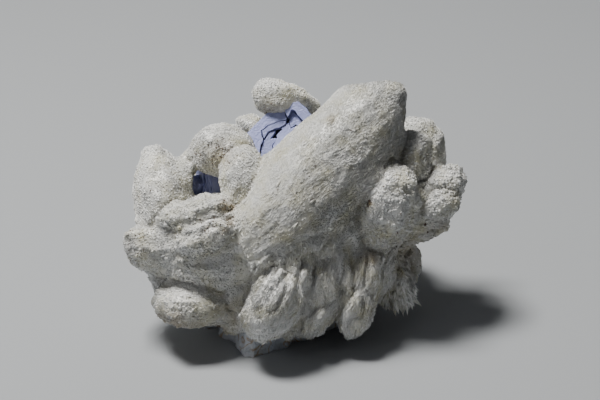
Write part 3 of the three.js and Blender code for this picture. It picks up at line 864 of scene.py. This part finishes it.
def plate(outline, low, high, lean=(0, 0), bevel=PLATE_BEVEL, material=galena):
    """A flat plate with this outline in mm, its top leaning by so much per mm."""
    outline = ragged(outline)
    bpy.ops.object.select_all(action="DESELECT")
    bpy.ops.mesh.primitive_circle_add(vertices=len(outline), fill_type="NGON")
    made = bpy.context.object
    top = [(x, y, high + lean[0] * x + lean[1] * y) for x, y in outline]
    move_points(made, np.array(top))
    bpy.ops.object.mode_set(mode="EDIT")
    bpy.ops.mesh.select_all(action="SELECT")
    bpy.ops.mesh.extrude_region_move(TRANSFORM_OT_translate={"value": (0, 0, low - high)})
    bpy.ops.mesh.select_all(action="SELECT")
    bpy.ops.mesh.normals_make_consistent(inside=False)
    bpy.ops.object.mode_set(mode="OBJECT")
    apply(made, "BEVEL", width=bevel, segments=2, limit_method="ANGLE", angle_limit=BEVEL_ANGLE)
    made.data.materials.append(material)
    return made

def crystal_of(name, parts, place, turn):
    """Joins the parts and puts them in their place, with the place and turn that the CAD gives."""
    bpy.ops.object.select_all(action="DESELECT")
    for part in parts:
        part.select_set(True)
    bpy.context.view_layer.objects.active = parts[0]
    bpy.ops.object.join()
    made = bpy.context.object
    made.name = name
    right, up, deep = place
    pitch, yaw, roll = turn
    tilt = Matrix.Rotation(-VIEW_TILT, 4, "X")
    turned = (Matrix.Rotation(pi / 2 + pitch, 4, "X") @ Matrix.Rotation(yaw, 4, "Y")
        @ Matrix.Rotation(roll, 4, "Z"))
    made.data.transform(Matrix.Translation(shown(right, up, deep)) @ Matrix.Scale(MM, 4) @ tilt @ turned)
    return made

def stand_for(made, node):
    """Lets a galena piece take the place of its CAD solid."""
    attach(made, "root")
    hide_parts(node)
    print(made.name, triangle_count(made), "triangles")

# %% [markdown]
# The upper galena turns one cube face to the viewer, with its cleavage plates at six levels and cracks
# between them. The plates' outlines follow the cracks in the photograph, drawn one by one. All tops but the
# first lean, by about four degrees at most and each its own way, so that they mirror the lamps differently.
# Under them all lies a plate of painted shade, nearly black, which makes the cracks show dark.

# %% The upper galena
UPPER_PLACE = (-4.9, 17.7, 5)
UPPER_TURN = (-0.26, -0.1, 0.75)
UPPER_PLATES = [
    # outline on the cube face, height of the top, lean
    ([(-6.5, 8.6), (-0.3, 8.9), (5.4, 8.9), (6.6, 6.4), (5.4, 4.9), (5.0, 3.6), (4.4, 3.5), (2.9, 4.6),
        (1.4, 5.2), (-0.3, 6.0), (-1.5, 6.0), (-2.8, 6.3), (-3.9, 5.0), (-4.3, 3.9), (-5.8, 3.2),
        (-7.0, 2.3), (-9.0, 0.7), (-9.6, -3), (-11.2, -3), (-9.2, 1.8), (-8.2, 5.0)], 1.2, (0.0, 0.0)),
    ([(-2.8, 6.1), (-1.5, 5.8), (-0.3, 5.8), (1.4, 5.0), (2.9, 4.4), (4.4, 3.3), (3.6, 2.7), (1.9, 3.1),
        (0.3, 3.9), (-1.2, 4.5), (-3.1, 4.2), (-3.9, 3.9), (-3.6, 4.9)], 0.8, (0.02, 0.04)),
    ([(-8.8, 0.5), (-6.9, 2.0), (-5.7, 2.9), (-4.2, 3.6), (-3.1, 3.9), (-1.3, 4.2), (0.1, 3.6),
        (0.0, 3.4), (-1.6, 2.95), (-2.7, 2.7), (-1.9, 2.25), (-1.2, 1.6), (-3.8, 0.7), (-5, -1.5),
        (-9.4, -3)], 0.2, (-0.02, 0.05)),
    ([(-1.0, 1.5), (-0.6, 2.2), (0.7, 2.3), (1.8, 2.2), (1.8, 2.9), (3.5, 2.5), (4.7, 2.4), (3.8, 0.7),
        (5.5, 0.1), (5.4, -6), (-4.8, -6), (-4.9, -1.6), (-3.6, 0.6)], 0.5, (0.03, -0.03)),
    ([(7.4, 4.0), (7.8, 3.7), (7.8, 2.5), (7.6, 0.9), (7.4, -4), (5.7, -4), (5.7, 0.5), (4.0, 0.8),
        (4.9, 2.5), (6.0, 3.4)], 1.0, (-0.04, 0.03)),
    ([(7.9, 5.6), (8.9, 5.8), (10.7, 4.6), (10.9, 2.6), (10.7, -3), (7.9, -3), (7.8, 1.0), (8.0, 2.5),
        (8.0, 3.8), (7.5, 4.3), (6.0, 3.6), (5.3, 3.5), (5.7, 4.9), (6.8, 6.2),
        (6.9, 5.0)], 1.9, (0.05, 0.05)),
]
# Outline of the painted-shade plate under the cracks
UPPER_SHADE_PLATE = [(-11, -5), (-9.3, 1.6), (-8.3, 4.8), (-6.6, 8.4), (5.6, 8.7), (6.7, 6.1), (8.8, 5.5),
    (10.7, 4.4), (10.6, -6), (5.6, -12), (-5.6, -12)]
PLATE_FOOT = -2.2
SHADE_PLATE_LEVELS = (-7, -1.2)

parts = [plate(outline, PLATE_FOOT, high, lean) for outline, high, lean in UPPER_PLATES]
# The last plate is painted shade, nearly black, under the cracks
parts.append(plate(UPPER_SHADE_PLATE, *SHADE_PLATE_LEVELS, material=painted_crack_shade))
upper = crystal_of("galena_upper_plates", parts, UPPER_PLACE, UPPER_TURN)
stand_for(upper, "galena_upper")

# %% [markdown]
# The lower galena is a column of upright slabs, the left ones set back so that their edges make the fine
# upright lines there. Beside it leans a small stepped crystal, built as a stair of little cubes.

# %% The lower galena
def slab(low, high):
    """An upright block of galena between two corners in mm."""
    outline = [(low[0], low[1]), (high[0], low[1]), (high[0], high[1]), (low[0], high[1])]
    return plate(outline, low[2], high[2], bevel=SLAB_BEVEL)

COLUMN_PLACE = (-25.6, 5.8, 6.2)
COLUMN_TURN = (0, 0.35, 0.05)
COLUMN_FOOT = -6.5
COLUMN_BACK = -4.5
COLUMN_SLABS = [
    # left, right, top, front
    (-3.7, -3.1, 5.8, 1.8), (-3.12, -2.5, 6.3, 3.0), (-2.52, -1.7, 6.6, 4.0), (-1.72, 0.6, 6.5, 4.5),
    (0.58, 2.2, 6.3, 4.35), (2.18, 3.7, 6.1, 4.45),
]
slabs = [slab((left, COLUMN_FOOT, COLUMN_BACK), (right, top, front))
    for left, right, top, front in COLUMN_SLABS]
column = crystal_of("column", slabs, COLUMN_PLACE, COLUMN_TURN)

STAIR_PLACE = (-30.6, 3.6, 5.2)
STAIR_TURN = (0.1, -0.5, -0.55)
STAIR_BLOCK = ((-2.1, -3, -3), (2.1, 3, 2.2))
STAIR = 1.25
STAIR_ROW = 1.4
STAIR_START = (-1.9, 2.2)
STAIR_FOOT = 1.5
STAIR_TOP = 3.1
ROW_DROP = 0.35
SIDE_DROP = 0.3
TOP_JITTER = 0.2
cubes = [slab(*STAIR_BLOCK)]
for row in range(4):
    for step in range(3):
        x = STAIR_START[0] + STAIR * step
        y = STAIR_START[1] - STAIR_ROW * row
        rise = STAIR_TOP - ROW_DROP * row - SIDE_DROP * abs(step - 1)
        rise += chance.uniform(-TOP_JITTER, TOP_JITTER)
        cubes.append(slab((x, y - STAIR / 2, STAIR_FOOT), (x + STAIR, y + STAIR / 2, rise)))
stair = crystal_of("stair", cubes, STAIR_PLACE, STAIR_TURN)
pick(column)
stair.select_set(True)
bpy.ops.object.join()
column.name = "galena_lower_slabs"
stand_for(column, "galena_lower")

# %% [markdown]
# The rind is massive calcite, broken when the specimen was taken from the rock. It is glassy and grey where
# it is clear, white where it is full of tiny cracks, and iron water has left thin yellow-brown films in it.
# Clouds 9 mm wide mix the grey with the white. A film is a line where a second, 7 mm noise passes its middle
# value. Light goes deeper into this clear stone than into the druse, so it scatters over 2.2 mm.

# %% Material: massive calcite
STONE_CLOUD = 9
FILM_SPACING = 7

def rind_material():
    """Broken massive calcite: glassy blue-grey and white, with thin brown films."""
    made = new_material("massive calcite")
    place = add(made, "ShaderNodeTexCoord").outputs["Object"]
    clouds = add(made, "ShaderNodeTexNoise", {
        "Vector": place, "Scale": per_mm(STONE_CLOUD), "Detail": 3.0})
    stone = add(made, "ShaderNodeMix", {
        "Factor": clouds.outputs["Fac"], "A": srgb("#9aa5b8"), "B": srgb("#e4e2dc")}, data_type="RGBA")
    films = add(made, "ShaderNodeTexNoise", {
        "Vector": place, "Scale": per_mm(FILM_SPACING), "Detail": 2.0, "Distortion": 1.2})
    film = add(made, "ShaderNodeMath", {0: films.outputs["Fac"], 1: 0.5}, operation="SUBTRACT")
    line = add(made, "ShaderNodeMath", {0: film.outputs["Value"]}, operation="ABSOLUTE")
    vein = add(made, "ShaderNodeMapRange", {
        "Value": line.outputs["Value"], "From Min": 0.0, "From Max": 0.035, "To Min": 0.8, "To Max": 0.0})
    veined = add(made, "ShaderNodeMix", {
        "Factor": vein.outputs["Result"], "A": stone.outputs["Result"],
        "B": srgb("#a08049")}, data_type="RGBA")
    shader = add(made, "ShaderNodeBsdfPrincipled", {
        "Base Color": veined.outputs["Result"],
        "Roughness": 0.3,
        "IOR": CALCITE_IOR,
        "Subsurface Weight": 0.6,
        "Subsurface Radius": (0.9, 0.95, 1.0),
        "Subsurface Scale": 2.2 * MM,
    })
    add(made, "ShaderNodeOutputMaterial", {"Surface": shader.outputs["BSDF"]})
    return made

massive_calcite = rind_material()
print("material:", massive_calcite.name)

# %% [markdown]
# Calcite breaks in small flat steps. A copy of the CAD solid is remeshed, which gives it enough points, and
# its sides are moved by a noise that is rounded to a few levels, which is quicker than cutting each step by
# hand. Nothing is moved near the table, so the underside stays flat.

# %% The broken rind
RIND_VOXEL = 0.7 * MM
STEP_SIZE = 3.4 * MM
STEP_HEIGHT = 0.9 * MM
STEP_LEVELS = 4
MOST_OUTWARD = 0.3 * MM
STILL_BELOW = 0.3 * MM
FADE_HEIGHT = 0.5 * MM

rind = copy_of("broken_rind", "broken_rind_stone")
apply(rind, "REMESH", mode="VOXEL", voxel_size=RIND_VOXEL)
places = points_of(rind)
steps = np.array([noise.noise(Vector(p) / STEP_SIZE) for p in places])
steps = np.round(steps * STEP_LEVELS) / STEP_LEVELS * STEP_HEIGHT
normals = normals_of(rind)
normals[:, 2] = np.minimum(normals[:, 2], 0)
off_floor = np.clip((places[:, 2] - STILL_BELOW) / FADE_HEIGHT, 0, 1)
places += normals * (np.minimum(steps, MOST_OUTWARD) * off_floor)[:, None]
places[:, 2] = np.maximum(places[:, 2], 0)
move_points(rind, places)
rind.data.materials.append(massive_calcite)
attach(rind, "root")
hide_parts("broken_rind")
print("rind:", triangle_count(rind), "triangles")
